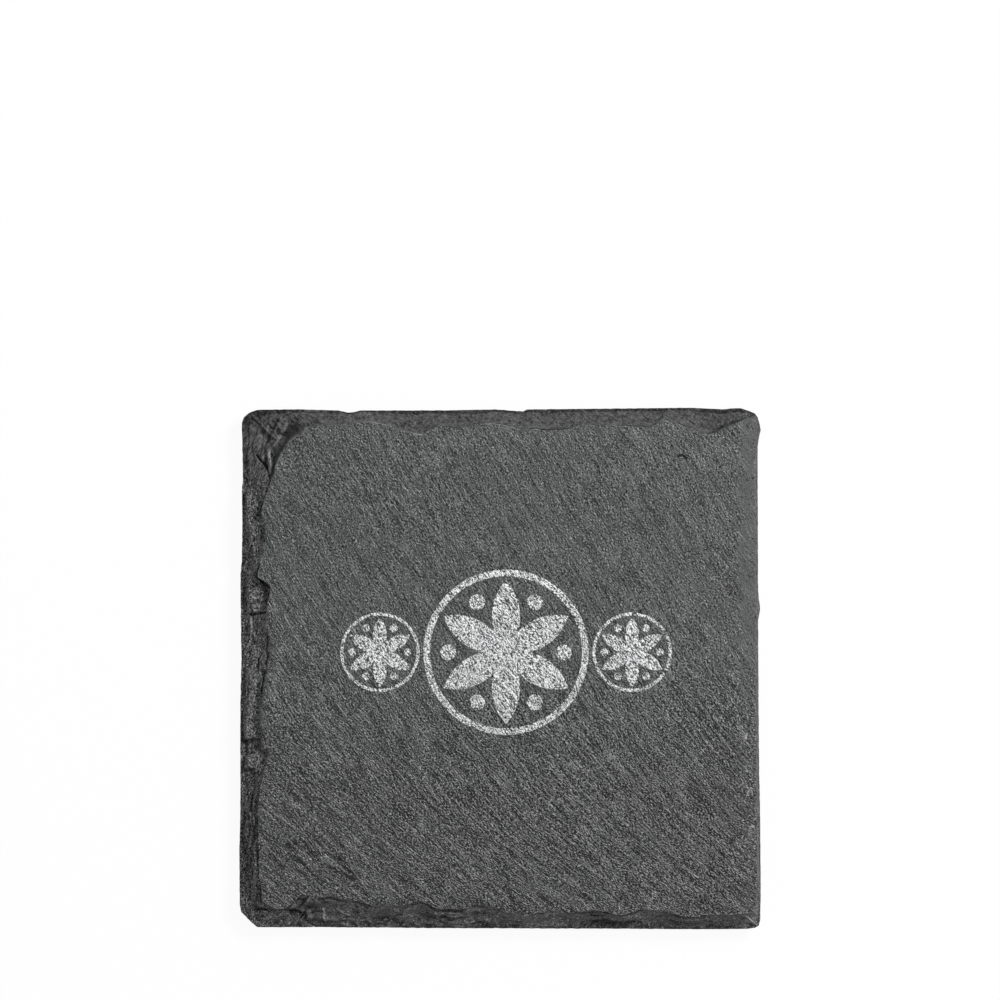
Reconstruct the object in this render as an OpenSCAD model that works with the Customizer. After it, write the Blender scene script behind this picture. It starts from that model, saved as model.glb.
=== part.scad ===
// Square drink coaster of natural slate on four stick-on foam feet.
// The slab is one split stone whose edges are dressed by hand from above, so that its
// cleavage layers step down from the ragged rim of the top face to the wider base.
// Origin: centre of the footprint, on the table. +Z up, +Y towards the back edge.

/* [Slate] */
// Side of the square slab, measured over the widest points of its base
slate_side = 100; // [80:1:130]
// Thickness of the slab
slate_thickness = 5; // [4:0.1:8]

/* [Dressed edge] */
// Cleavage layers that show in the edge
laminae = 10; // [6:1:12]
// Height of the upright wall at the foot of the dressed edge
edge_wall = 1.2; // [0.6:0.1:2]
// How far the underside is chipped back from the widest line
under_chip = 0.5; // [0.2:0.1:1]
// How unevenly the layers break, as a share of the width of the dressed edge
break_share = 0.16; // [0:0.01:0.2]

/* [Feet] */
// Diameter of a foam foot
foot_diameter = 12; // [8:0.5:16]
// Height of the foam disc
foot_height = 2; // [1.5:0.1:4]
// Distance from the side of the slab to the middle of a foot
foot_inset = 14; // [13:0.5:20]
// Radius worn on the sole's edge
foot_edge_radius = 0.3; // [0.1:0.05:0.6]
// Thickness of the adhesive film between a foot and the slate
adhesive_thickness = 0.15; // [0.1:0.05:0.4]
// How far the film stops short of the foam's edge
adhesive_margin = 0.2; // [0.1:0.05:0.6]

/* [Hidden] */
$fn = 96;

slate_colour = "dimgray";
foam_colour = "black";
adhesive_colour = "gainsboro";

// Height of the slab's underside above the table
slate_z = foot_height + adhesive_thickness;
lamina_height = slate_thickness / laminae;
foot_offset = slate_side / 2 - foot_inset;
left = -1;
right = 1;
front = -1;
back = 1;

// Outline of the base from above, clockwise from the back left corner, as shares of the
// side measured from the middle. Two corners are knocked off and small nicks break the sides.
base_back_shares = [
    [-0.495, 0.472], [-0.491, 0.482], [-0.481, 0.490], [-0.467, 0.496], [-0.387, 0.497],
    [-0.310, 0.495], [-0.293, 0.491], [-0.278, 0.492], [-0.268, 0.495], [-0.115, 0.495],
    [-0.010, 0.497], [0.044, 0.493], [0.052, 0.497], [0.268, 0.499], [0.354, 0.500],
    [0.364, 0.500], [0.383, 0.499], [0.433, 0.497], [0.443, 0.499], [0.462, 0.499],
];
base_right_shares = [
    [0.477, 0.494], [0.489, 0.489], [0.494, 0.482], [0.498, 0.468], [0.500, 0.457],
    [0.497, 0.445], [0.494, 0.428], [0.495, 0.150], [0.499, 0.114], [0.495, 0.093],
    [0.497, -0.194], [0.499, -0.290], [0.500, -0.434], [0.499, -0.482], [0.496, -0.493],
];
base_front_shares = [
    [0.490, -0.497], [0.475, -0.499], [0.421, -0.500], [0.364, -0.500], [0.192, -0.499],
    [-0.115, -0.498], [-0.345, -0.496], [-0.466, -0.496],
];
base_left_shares = [
    [-0.479, -0.484], [-0.496, -0.467], [-0.499, -0.453], [-0.500, -0.348], [-0.498, -0.281],
    [-0.498, -0.060], [-0.496, 0.016], [-0.498, 0.179], [-0.495, 0.208], [-0.494, 0.284],
    [-0.495, 0.342], [-0.493, 0.365], [-0.494, 0.419],
];
base_shares = concat(base_back_shares, base_right_shares, base_front_shares, base_left_shares);

// Rim of the cleaved top face, in the same order: scalloped where flakes came away, wide
// at the left and at the back left corner, and close to the side on the right.
rim_back_shares = [
    [-0.360, 0.463], [-0.303, 0.466], [-0.276, 0.472], [-0.222, 0.467], [-0.172, 0.451],
    [-0.146, 0.446], [-0.123, 0.466], [-0.080, 0.459], [-0.033, 0.470], [0.013, 0.465],
    [0.077, 0.456], [0.119, 0.457], [0.157, 0.466], [0.203, 0.466], [0.287, 0.460],
    [0.310, 0.478], [0.352, 0.462], [0.395, 0.445], [0.450, 0.468],
];
rim_right_shares = [
    [0.485, 0.480], [0.490, 0.457], [0.487, 0.419], [0.487, 0.150], [0.491, 0.114],
    [0.487, 0.055], [0.489, -0.233], [0.491, -0.386], [0.490, -0.443],
];
rim_front_shares = [
    [0.485, -0.465], [0.441, -0.470], [0.393, -0.470], [0.356, -0.474], [0.312, -0.461],
    [0.264, -0.461], [0.230, -0.470], [0.199, -0.461], [0.134, -0.466], [0.075, -0.463],
    [0.048, -0.472], [-0.015, -0.456], [-0.048, -0.451], [-0.063, -0.458], [-0.113, -0.458],
    [-0.151, -0.445], [-0.178, -0.454], [-0.236, -0.454], [-0.266, -0.444], [-0.324, -0.434],
    [-0.381, -0.432], [-0.402, -0.452], [-0.437, -0.457],
];
rim_left_shares = [
    [-0.453, -0.445], [-0.461, -0.348], [-0.462, -0.261], [-0.446, -0.183], [-0.441, -0.160],
    [-0.456, -0.095], [-0.444, -0.007], [-0.433, 0.047], [-0.444, 0.097], [-0.444, 0.124],
    [-0.439, 0.158], [-0.462, 0.175], [-0.448, 0.250], [-0.456, 0.300], [-0.441, 0.350],
    [-0.425, 0.392], [-0.408, 0.430], [-0.387, 0.451],
];
rim_shares = concat(rim_back_shares, rim_right_shares, rim_front_shares, rim_left_shares);

// Both outlines are cut by the same rays from the middle, evenly spaced along the sides.
rays_per_side = 48;
rays = 4 * rays_per_side;

// Unit square, clockwise from its back left corner
function square_point(turn) =
    let (side = floor(turn), along = turn - side - 1 / 2)
    side == 0 ? [along, 1 / 2] :
    side == 1 ? [1 / 2, -along] :
    side == 2 ? [-along, -1 / 2] :
    [-1 / 2, along];

directions = [for (i = [0 : rays - 1]) square_point(i / rays_per_side)];

// How many times a ray's own length it runs before it meets the outline
function reach(outline, ray) = max([
    for (i = [0 : len(outline) - 1])
        let (a = outline[i], b = outline[(i + 1) % len(outline)], across = cross(ray, b - a))
        if (cross(ray, a) * cross(ray, b) <= 0 && across != 0)
            cross(a, b - a) / across
]);

base_reach = [for (ray = directions) reach(base_shares, ray)];
rim_reach = [for (ray = directions) reach(rim_shares, ray)];

// Smooth unevenness between -1 and 1 that closes on itself round the slab
wave_counts = [7, 17, 41];
wave_weights = [0.45, 0.35, 0.2];
wave_shift = 97;
function unevenness(layer, i) = wave_weights * [
    for (count = wave_counts) sin(360 * count * i / rays + wave_shift * layer * count)
];

// Share of the dressed edge's width that a layer has stepped back, from 0 at the base
// to 1 at the rim. The two lowest layers reach the base's outline, and each of the others
// breaks a little behind the one below it.
wall_share = edge_wall / slate_thickness;
least_step_share = 0.03;
widest_layer = 1;
function slope_share(layer) =
    max(0, ((layer + 1 / 2) / laminae - wall_share) / (1 - wall_share));
function step_share(layer, i) =
    layer == laminae - 1 ? 1 :
    layer <= widest_layer ? 0 :
    min(
        1 - (laminae - 1 - layer) * least_step_share,
        max(
            step_share(layer - 1, i) + least_step_share,
            slope_share(layer) + break_share * unevenness(layer, i)
        )
    );

// How far the lowest layer is chipped back at one ray, between half and all of under_chip
function chip_back(i) = under_chip * (3 + unevenness(0, i)) / 4;

function lamina_outline(layer) = [
    for (i = [0 : rays - 1])
        let (
            share = step_share(layer, i),
            turns = base_reach[i] * (1 - share) + rim_reach[i] * share,
            edge = slate_side * turns * directions[i]
        )
        layer == 0 ? edge * (1 - chip_back(i) / norm(edge)) : edge
];

// The layers are one stone, so each is bonded into its wider neighbour: those under the
// widest layer reach up, and those over it reach down.
bond_share = 0.5;
function bond_up(layer) = layer < widest_layer ? bond_share * lamina_height : 0;
function bond_down(layer) = layer > widest_layer ? bond_share * lamina_height : 0;

module slate_slab() {
    color(slate_colour)
    for (layer = [0 : laminae - 1])
        translate([0, 0, slate_z + layer * lamina_height - bond_down(layer)])
            linear_extrude(lamina_height + bond_up(layer) + bond_down(layer))
                polygon(lamina_outline(layer));
}

module at_foot(side_x, side_y) {
    translate([side_x * foot_offset, side_y * foot_offset, 0]) children();
}

// Foam disc standing on the table, with the edge of its sole rounded
module foot(side_x, side_y) {
    radius = foot_diameter / 2;
    color(foam_colour)
    at_foot(side_x, side_y) {
        translate([0, 0, foot_edge_radius])
            cylinder(r = radius, h = foot_height - foot_edge_radius);
        cylinder(r = radius - foot_edge_radius, h = foot_edge_radius);
        rotate_extrude()
            translate([radius - foot_edge_radius, foot_edge_radius])
                intersection() {
                    circle(foot_edge_radius);
                    translate([0, -foot_edge_radius]) square(foot_edge_radius);
                }
    }
}

module adhesive(side_x, side_y) {
    color(adhesive_colour)
    at_foot(side_x, side_y)
        translate([0, 0, foot_height])
            cylinder(r = foot_diameter / 2 - adhesive_margin, h = adhesive_thickness);
}

slate_slab();
foot(left, front);  // foot_front_left
foot(right, front);  // foot_front_right
foot(left, back);  // foot_back_left
foot(right, back);  // foot_back_right
adhesive(left, front);  // adhesive_front_left
adhesive(right, front);  // adhesive_front_right
adhesive(left, back);  // adhesive_back_left
adhesive(right, back);  // adhesive_back_right
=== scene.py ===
import math

import bpy
import numpy as np
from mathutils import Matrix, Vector, noise


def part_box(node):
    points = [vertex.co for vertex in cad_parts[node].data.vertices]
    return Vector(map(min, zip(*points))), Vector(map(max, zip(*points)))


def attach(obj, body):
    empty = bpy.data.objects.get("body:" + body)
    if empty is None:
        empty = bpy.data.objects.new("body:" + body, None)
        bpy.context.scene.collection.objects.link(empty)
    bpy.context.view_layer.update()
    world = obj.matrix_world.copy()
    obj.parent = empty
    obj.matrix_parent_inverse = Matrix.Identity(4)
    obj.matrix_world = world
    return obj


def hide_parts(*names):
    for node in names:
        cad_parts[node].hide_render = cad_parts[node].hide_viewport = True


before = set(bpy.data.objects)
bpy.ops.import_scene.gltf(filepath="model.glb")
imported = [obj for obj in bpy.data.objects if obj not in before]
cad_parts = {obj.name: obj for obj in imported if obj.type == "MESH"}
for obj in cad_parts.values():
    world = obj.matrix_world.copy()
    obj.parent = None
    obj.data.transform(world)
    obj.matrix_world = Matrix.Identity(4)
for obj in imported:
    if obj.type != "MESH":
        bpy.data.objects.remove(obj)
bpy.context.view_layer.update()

# Slate slab. One piece of natural slate, split along its cleavage to a plate about 5 mm
# thick. Its edge is dressed by hand from above: flakes break off down to the wider base,
# and the layers of the stone show in the break.
MM = 0.001
slab_low, slab_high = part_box("slate_slab")
side = 100 * MM
thickness = slab_high.z - slab_low.z
outline_margin = 0.02 * MM

# Outline of the base from above, clockwise from the back left corner, as shares of the
# side measured from the middle.
base_back_shares = [
    (-0.495, 0.472), (-0.491, 0.482), (-0.481, 0.490), (-0.467, 0.496), (-0.387, 0.497),
    (-0.310, 0.495), (-0.293, 0.491), (-0.278, 0.492), (-0.268, 0.495), (-0.115, 0.495),
    (-0.010, 0.497), (0.044, 0.493), (0.052, 0.497), (0.268, 0.499), (0.354, 0.500),
    (0.364, 0.500), (0.383, 0.499), (0.433, 0.497), (0.443, 0.499), (0.462, 0.499),
]
base_right_shares = [
    (0.477, 0.494), (0.489, 0.489), (0.494, 0.482), (0.498, 0.468), (0.500, 0.457),
    (0.497, 0.445), (0.494, 0.428), (0.495, 0.150), (0.499, 0.114), (0.495, 0.093),
    (0.497, -0.194), (0.499, -0.290), (0.500, -0.434), (0.499, -0.482), (0.496, -0.493),
]
base_front_shares = [
    (0.490, -0.497), (0.475, -0.499), (0.421, -0.500), (0.364, -0.500), (0.192, -0.499),
    (-0.115, -0.498), (-0.345, -0.496), (-0.466, -0.496),
]
base_left_shares = [
    (-0.479, -0.484), (-0.496, -0.467), (-0.499, -0.453), (-0.500, -0.348), (-0.498, -0.281),
    (-0.498, -0.060), (-0.496, 0.016), (-0.498, 0.179), (-0.495, 0.208), (-0.494, 0.284),
    (-0.495, 0.342), (-0.493, 0.365), (-0.494, 0.419),
]
base_shares = base_back_shares + base_right_shares + base_front_shares + base_left_shares

# Rim of the cleaved top face in the same order, scalloped where flakes came away.
rim_back_shares = [
    (-0.360, 0.463), (-0.337, 0.466), (-0.303, 0.466), (-0.276, 0.472), (-0.243, 0.471),
    (-0.222, 0.467), (-0.192, 0.458), (-0.172, 0.451), (-0.146, 0.446), (-0.132, 0.459),
    (-0.123, 0.466), (-0.103, 0.461), (-0.080, 0.459), (-0.057, 0.465), (-0.033, 0.470),
    (-0.006, 0.468), (0.013, 0.465), (0.038, 0.459), (0.077, 0.456), (0.119, 0.457),
    (0.138, 0.461), (0.157, 0.467), (0.188, 0.464), (0.203, 0.466), (0.230, 0.463),
    (0.249, 0.465), (0.270, 0.461), (0.287, 0.460), (0.299, 0.468), (0.310, 0.478),
    (0.322, 0.472), (0.339, 0.468), (0.352, 0.462), (0.366, 0.455), (0.395, 0.445),
    (0.421, 0.454), (0.450, 0.468), (0.471, 0.479),
]
rim_right_shares = [
    (0.485, 0.482), (0.490, 0.457), (0.488, 0.419), (0.487, 0.285), (0.488, 0.150),
    (0.491, 0.114), (0.488, 0.055), (0.489, -0.099), (0.490, -0.252), (0.491, -0.386),
    (0.490, -0.453),
]
rim_front_shares = [
    (0.485, -0.465), (0.460, -0.468), (0.441, -0.470), (0.393, -0.470), (0.374, -0.473),
    (0.356, -0.474), (0.337, -0.470), (0.312, -0.461), (0.287, -0.459), (0.264, -0.461),
    (0.247, -0.468), (0.230, -0.470), (0.212, -0.467), (0.199, -0.461), (0.180, -0.461),
    (0.153, -0.464), (0.134, -0.466), (0.123, -0.461), (0.096, -0.461), (0.075, -0.463),
    (0.063, -0.468), (0.048, -0.472), (0.029, -0.468), (0.006, -0.463), (-0.015, -0.456),
    (-0.033, -0.451), (-0.048, -0.451), (-0.063, -0.458), (-0.113, -0.458), (-0.126, -0.454),
    (-0.136, -0.448), (-0.151, -0.445), (-0.167, -0.448), (-0.178, -0.454), (-0.209, -0.452),
    (-0.236, -0.454), (-0.249, -0.450), (-0.266, -0.444), (-0.289, -0.443), (-0.324, -0.434),
    (-0.353, -0.435), (-0.364, -0.432), (-0.381, -0.432), (-0.393, -0.444), (-0.402, -0.452),
    (-0.414, -0.458), (-0.437, -0.457),
]
rim_left_shares = [
    (-0.453, -0.446), (-0.458, -0.405), (-0.461, -0.348), (-0.462, -0.261), (-0.453, -0.208),
    (-0.446, -0.183), (-0.441, -0.160), (-0.444, -0.141), (-0.454, -0.114), (-0.456, -0.089),
    (-0.453, -0.064), (-0.444, -0.007), (-0.433, 0.047), (-0.441, 0.063), (-0.444, 0.097),
    (-0.444, 0.124), (-0.439, 0.147), (-0.439, 0.158), (-0.450, 0.168), (-0.462, 0.175),
    (-0.460, 0.194), (-0.452, 0.223), (-0.448, 0.250), (-0.448, 0.277), (-0.456, 0.300),
    (-0.448, 0.328), (-0.441, 0.350), (-0.431, 0.373), (-0.425, 0.392), (-0.418, 0.413),
    (-0.408, 0.430), (-0.391, 0.446), (-0.375, 0.457),
]
rim_shares = rim_back_shares + rim_right_shares + rim_front_shares + rim_left_shares


def rough(points, bump_size, seed):
    """Smooth noise of about -0.7 to 0.7 at points in metres, with bumps of that size."""
    shift = Vector((seed, seed, seed))
    return np.array([noise.noise(Vector(p) / bump_size + shift) for p in points])


def blocks(points, block_size, seed):
    """Noise from 0 to 1 that keeps one value over each block of that size."""
    shift = Vector((seed, seed, seed))
    return np.array([noise.cell(Vector(p) / block_size + shift) for p in points])


def smooth(low, high, value):
    """0 below low, 1 above high and smooth in between."""
    along = np.clip((value - low) / (high - low), 0, 1)
    return along * along * (3 - 2 * along)


def reach(outline, rays):
    """How many times its own length each ray runs before it meets the outline."""
    starts = np.array(outline)
    steps = np.roll(starts, -1, axis=0) - starts
    ends = starts + steps
    found = np.zeros(len(rays))
    for start, step, end in zip(starts, steps, ends):
        across = rays[:, 0] * step[1] - rays[:, 1] * step[0]
        one = rays[:, 0] * start[1] - rays[:, 1] * start[0]
        other = rays[:, 0] * end[1] - rays[:, 1] * end[0]
        length = (start[0] * step[1] - start[1] * step[0]) / np.where(across == 0, 1, across)
        meets = (one * other <= 0) & (across != 0)
        found = np.where(meets, np.maximum(found, length), found)
    return found


# The plate is a grid drawn out to its thickness, and its wall is cut into rings. The upper
# rings become the dressed edge, then come the upright wall and the chipped lower edge.
cells = 100
rim_cuts = 3
layers = 8
rings_per_layer = 5
edge_rings = layers * rings_per_layer
wall_rings = 4
under_rings = 4
rings = edge_rings + wall_rings + under_rings
bpy.ops.object.select_all(action="DESELECT")
bpy.ops.mesh.primitive_grid_add(
    x_subdivisions=cells, y_subdivisions=cells, size=side, location=(0, 0, slab_high.z)
)
slab = bpy.context.object
slab.name = "slate"
bpy.ops.object.transform_apply(location=True, rotation=False, scale=False)
bpy.ops.object.mode_set(mode="EDIT")
bpy.context.tool_settings.mesh_select_mode = (False, True, False)
bpy.ops.mesh.select_all(action="DESELECT")
bpy.ops.mesh.select_non_manifold()
bpy.ops.mesh.subdivide(number_cuts=rim_cuts)
bpy.ops.mesh.select_all(action="SELECT")
bpy.ops.mesh.extrude_region_move(TRANSFORM_OT_translate={"value": (0, 0, -thickness)})
bpy.ops.mesh.select_all(action="DESELECT")
bpy.ops.object.mode_set(mode="OBJECT")
middle_z = (slab_low.z + slab_high.z) / 2
is_high = [vertex.co.z > middle_z for vertex in slab.data.vertices]
for edge in slab.data.edges:
    edge.select = is_high[edge.vertices[0]] != is_high[edge.vertices[1]]
bpy.ops.object.mode_set(mode="EDIT")
bpy.ops.mesh.subdivide(number_cuts=rings - 1)
bpy.ops.mesh.select_all(action="SELECT")
bpy.ops.mesh.normals_make_consistent(inside=False)
bpy.ops.object.mode_set(mode="OBJECT")

places = np.array([vertex.co for vertex in slab.data.vertices])
ring_of = np.rint((slab_high.z - places[:, 2]) / thickness * rings).astype(int)
half = side / 2
square_radius = np.abs(places[:, :2]).max(axis=1) / half
outward = places[:, :2] / np.maximum(square_radius, 1e-6)[:, None] / side

# Each ray runs from the middle of the slab through one point of the unit square.
rays_per_side = cells * (rim_cuts + 1)
ray_count = 4 * rays_per_side
nearly = 0.5 - 1e-4
turn = np.select(
    [outward[:, 1] >= nearly, outward[:, 0] >= nearly, outward[:, 1] <= -nearly],
    [outward[:, 0] + 0.5, 1.5 - outward[:, 1], 2.5 - outward[:, 0]],
    3.5 + outward[:, 1],
)
ray_of = np.rint(turn * rays_per_side).astype(int) % ray_count
steps_along = np.arange(ray_count) / rays_per_side
side_number = np.floor(steps_along)
along_side = steps_along - side_number - 0.5
rays = np.select(
    [side_number[:, None] == 0, side_number[:, None] == 1, side_number[:, None] == 2],
    [
        np.column_stack([along_side, np.full(ray_count, 0.5)]),
        np.column_stack([np.full(ray_count, 0.5), -along_side]),
        np.column_stack([-along_side, np.full(ray_count, -0.5)]),
    ],
    np.column_stack([np.full(ray_count, -0.5), along_side]),
)

base = rays * reach(base_shares, rays)[:, None] * side
rim = rays * reach(rim_shares, rays)[:, None] * side
ray_directions = rays / np.linalg.norm(rays, axis=1)[:, None]
# A walk round the slab laid on a circle of the same length, so that noise along the edge
# closes on itself.
walk_angle = 2 * math.pi * np.arange(ray_count) / ray_count
walk_radius = 4 * side / (2 * math.pi)
walk = np.column_stack([
    walk_radius * np.cos(walk_angle), walk_radius * np.sin(walk_angle), np.zeros(ray_count)
])
rim_raggedness = 0.20 * MM
base_raggedness = 0.06 * MM
rim -= ray_directions * (rim_raggedness * (
    rough(walk, 1.5 * MM, 3) + 0.7 * rough(walk, 0.6 * MM, 5)))[:, None]
base -= ray_directions * (base_raggedness * (1 + rough(walk, 1.0 * MM, 7)))[:, None]
base = np.clip(
    base,
    np.array(slab_low[:2]) + outline_margin,
    np.array(slab_high[:2]) - outline_margin,
)
edge_width = np.linalg.norm(base - rim, axis=1)

# The stone's layers, from the top down, as shares of the height of the dressed edge. Each
# breaks at its own distance from the rim, in blocks and waves, and has a steep riser and
# a tread that slopes a little, so that most of its fall is in the riser. The edge as a
# whole is scooped, more in some places than in others.
layer_shares = [0.17, 0.13, 0.08, 0.14, 0.11, 0.10, 0.14, 0.13]
layer_tops = np.concatenate([[0], np.cumsum(layer_shares)])
wall_height = (1.1 + 0.5 * rough(walk, 9 * MM, 11)) * MM
edge_drop = thickness - wall_height
hollow = 1.9 + rough(walk, 7 * MM, 13)
break_wave_share = 0.20
break_block_share = 0.18
least_tread_share = 0.02
riser_width = 0.22 * MM
widest_riser_share = 0.08
riser_fall = 0.80
tread_fall = 0.04


def concave(drop_share):
    """Share of the edge's width at which a scooped slope has fallen by drop_share."""
    return 1 - (1 - drop_share) ** (1 / hollow)


def window(start, end, blur=0.004):
    """1 between two places on the way round the slab, in sides from the back left corner."""
    from_start = (steps_along - start) % 4
    from_end = (end - steps_along) % 4
    inside = np.where(from_start < from_end, 1, -1) * np.minimum(
        np.minimum(from_start, 4 - from_start), np.minimum(from_end, 4 - from_end))
    return smooth(-blur, blur, inside)


riser_share = np.minimum(riser_width / edge_width, widest_riser_share)
tread_starts = [np.zeros(ray_count)]
for layer in range(1, layers):
    waves = break_wave_share * rough(walk, 5 * MM, 17 + layer)
    waves += break_wave_share / 2 * rough(walk, 1.6 * MM, 31 + layer)
    jogs = break_block_share * (blocks(walk, (3 + layer) * MM, 47 + layer) - 0.5)
    tread_starts.append(concave(layer_tops[layer]) + waves + jogs)

# Plates that still stand at the left side, below the top face: each keeps its tread from
# one place to another on the way round, under that layer and as far as that share.
plates = [(3.603, 3.662, 1, 0.80), (3.700, 3.796, 2, 0.60), (3.30, 3.36, 3, 0.7)]
thin_tread = 0.03
for start, end, layer, tread_end in plates:
    stands = window(start, end)
    for below in range(1, layers):
        if below <= layer:
            wanted = thin_tread * below
        else:
            wanted = tread_end + thin_tread * (below - layer)
        tread_starts[below] = tread_starts[below] * (1 - stands) + wanted * stands

# The back left corner broke off in one steep face under the rim, with a flatter and calmer
# foot in front of it.
corner_break = window(3.885, 0.135, 0.02)
corner_shares = [0.05, 0.10, 0.14, 0.18, 0.42, 0.62, 0.80]
corner_wave_share = 0.08
for layer in range(1, layers):
    wanted = corner_shares[layer - 1] + corner_wave_share * rough(walk, 3 * MM, 17 + layer)
    tread_starts[layer] = tread_starts[layer] * (1 - corner_break) + wanted * corner_break

for layer in range(1, layers):
    most = 1 - (layers - layer) * least_tread_share - riser_share
    tread_starts[layer] = np.clip(
        tread_starts[layer], tread_starts[layer - 1] + least_tread_share, most)
tread_starts.append(np.ones(ray_count))

width_shares = []
drop_shares = []
tread_rings = rings_per_layer - 1
for layer in range(layers):
    here, below = tread_starts[layer], tread_starts[layer + 1]
    fall = layer_shares[layer]
    foot = np.minimum(here + riser_share, (here + below) / 2)
    width_shares.append(here)
    drop_shares.append(np.full(ray_count, layer_tops[layer]))
    for step in range(tread_rings):
        width_shares.append(foot + (below - foot) * step / tread_rings)
        drop_shares.append(layer_tops[layer] + fall * (riser_fall + tread_fall * step))
width_shares.append(np.ones(ray_count))
drop_shares.append(np.ones(ray_count))

# Where a broad flake came away the break is a smooth scoop, and elsewhere the layers show.
# Over both lie shallow scoops, slivers and splinters that stand up from the break, and
# chips. The back side is calmer, and the back left corner calmer still.
left_side = window(2.98, 0.02, 0.03)
back_side = window(0.12, 0.97, 0.03)
flaked = smooth(-0.15, 0.2, rough(walk, 8 * MM, 79)) * (1 - 0.7 * left_side)
flake_scoop = 1.25
slope_stretch = 1.4
scoop_depth = 0.60 * MM
sliver_height = 0.45 * MM
splinter_height = 0.4 * sliver_height
small_chip = 0.16 * MM
large_chip = 0.20 * MM
back_calm = 0.55
corner_calm = 0.85


def scoops(points, scoop_size):
    """1 in the middle of each scoop and 0 on the sharp ridges between them."""
    distances = np.array([noise.voronoi(Vector(p) / scoop_size)[0][:2] for p in points])
    return np.clip(distances[:, 1] - distances[:, 0], 0, 1)


ring_places = np.zeros((rings + 1, ray_count, 3))
for ring in range(edge_rings + 1):
    drop = drop_shares[ring]
    even = ring / edge_rings
    smooth_across = even**flake_scoop
    smooth_drop = 1 - (1 - smooth_across) ** hollow
    across = width_shares[ring] * (1 - flaked) + smooth_across * flaked
    drop = drop * (1 - flaked) + smooth_drop * flaked
    down_slope = across * edge_width * slope_stretch
    spots = walk + np.column_stack([np.zeros((ray_count, 2)), down_slope])
    inside = np.clip(5 * across * (1.1 - across), 0, 1)
    hollowed = scoop_depth * inside * (scoops(spots, 5 * MM) - 0.35)
    ridges = rough(spots * (1, 1, 3.5), 3.2 * MM, 109)
    slivers = sliver_height * inside * smooth(0.28, 0.34, ridges)
    splinters = rough(spots * (1, 1, 2.2), 1.5 * MM, 127)
    slivers += splinter_height * inside * smooth(0.16, 0.24, splinters)
    chipped = small_chip * rough(spots, 0.7 * MM, 113) + large_chip * rough(spots, 2.0 * MM, 119)
    uneven = slivers + inside * chipped - 0.3 * hollowed
    uneven = uneven * (1 - back_calm * back_side) - 0.7 * hollowed
    uneven *= 1 - corner_calm * corner_break
    ring_places[ring, :, :2] = rim + (base - rim) * across[:, None]
    ring_places[ring, :, 2] = slab_high.z - drop * edge_drop + uneven
ring_places[:edge_rings, :, 2] = np.minimum(ring_places[:edge_rings, :, 2], slab_high.z)

# Below the break the wall stands upright with small dents, and its foot is chipped away.
wall_share = 0.75
wall_dent = 0.08 * MM
for step in range(1, wall_rings + 1):
    along = step / (wall_rings + 1)
    spots = walk + (0, 0, along * 1.5 * MM)
    dent = wall_dent * np.abs(rough(spots, 1.1 * MM, 83))
    ring_places[edge_rings + step, :, :2] = base - ray_directions * dent[:, None]
    ring_places[edge_rings + step, :, 2] = (
        slab_high.z - edge_drop - along * wall_height * wall_share
    )
under_chip = 0.5 * MM
chip = under_chip * (0.75 + 0.4 * rough(walk, 2.5 * MM, 89))
wall_foot = slab_high.z - edge_drop - wall_rings / (wall_rings + 1) * wall_height * wall_share
for step in range(1, under_rings + 1):
    along = step / under_rings
    ring_places[edge_rings + wall_rings + step, :, :2] = (
        base - ray_directions * (chip * along**1.3)[:, None]
    )
    ring_places[edge_rings + wall_rings + step, :, 2] = (
        wall_foot + (slab_low.z - wall_foot) * along**0.8
    )

# Both faces keep their plain grid in the middle and take the outline's shape towards the
# rim, where their last row of cells is drawn out to a narrow line.
shaped = ring_places[ring_of, ray_of]
grid_size = 0.46 * side
rim_line = 0.20 * MM
last_inside = 1 - 2 / cells
for is_face, border in ((ring_of == 0, rim), (ring_of == rings, ring_places[rings, :, :2])):
    radius = square_radius[is_face][:, None]
    drawn_out = np.where(np.abs(radius - last_inside) < 1e-4, 1 - rim_line / half, radius)
    pulled = border[ray_of[is_face]] * drawn_out
    plain = places[is_face][:, :2] / half * grid_size
    near_rim = smooth(0.7, 0.97, radius)
    shaped[is_face, :2] = plain * (1 - near_rim) + pulled * near_rim
    shaped[is_face, 2] = np.where(ring_of[is_face] == 0, slab_high.z, slab_low.z)

# The cleaved face undulates a little, and its last layer has broken away in low steps
# towards the front left corner.
faces_up = ring_of == 0
face_points = np.column_stack([shaped[faces_up][:, :2], np.zeros(faces_up.sum())])
streak_squeeze = np.array([[0.79, -0.25, 0], [0.62, 0.31, 0], [0, 0, 0]])
streaked = face_points @ streak_squeeze
wave_depth = 0.10 * MM
streak_depth = 0.05 * MM
sunk = wave_depth * (0.6 + rough(face_points, 22 * MM, 97))
sunk += streak_depth * (0.6 + rough(streaked, 3.5 * MM, 101))
flaking_centre = np.array([-31, -38, 0]) * MM
flaking_squeeze = (0.7, 1.2, 1)
from_flaking = np.linalg.norm((face_points - flaking_centre) * flaking_squeeze, axis=1)
flaking = 1 - smooth(5 * MM, 15 * MM, from_flaking)
flake_field = rough(streaked, 2.6 * MM, 103)
flake_steps = [(-0.05, 0.12 * MM), (0.16, 0.10 * MM), (0.34, 0.08 * MM)]
for level, depth in flake_steps:
    sunk += depth * flaking * smooth(level, level + 0.05, flake_field)
rim_wear = smooth(0.965, 1, square_radius[faces_up])
sunk += rim_wear * 0.12 * MM * (0.5 + rough(face_points, 4 * MM, 107))
sunk = np.maximum(sunk, 0)
shaped[faces_up, 2] = slab_high.z - sunk

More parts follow.
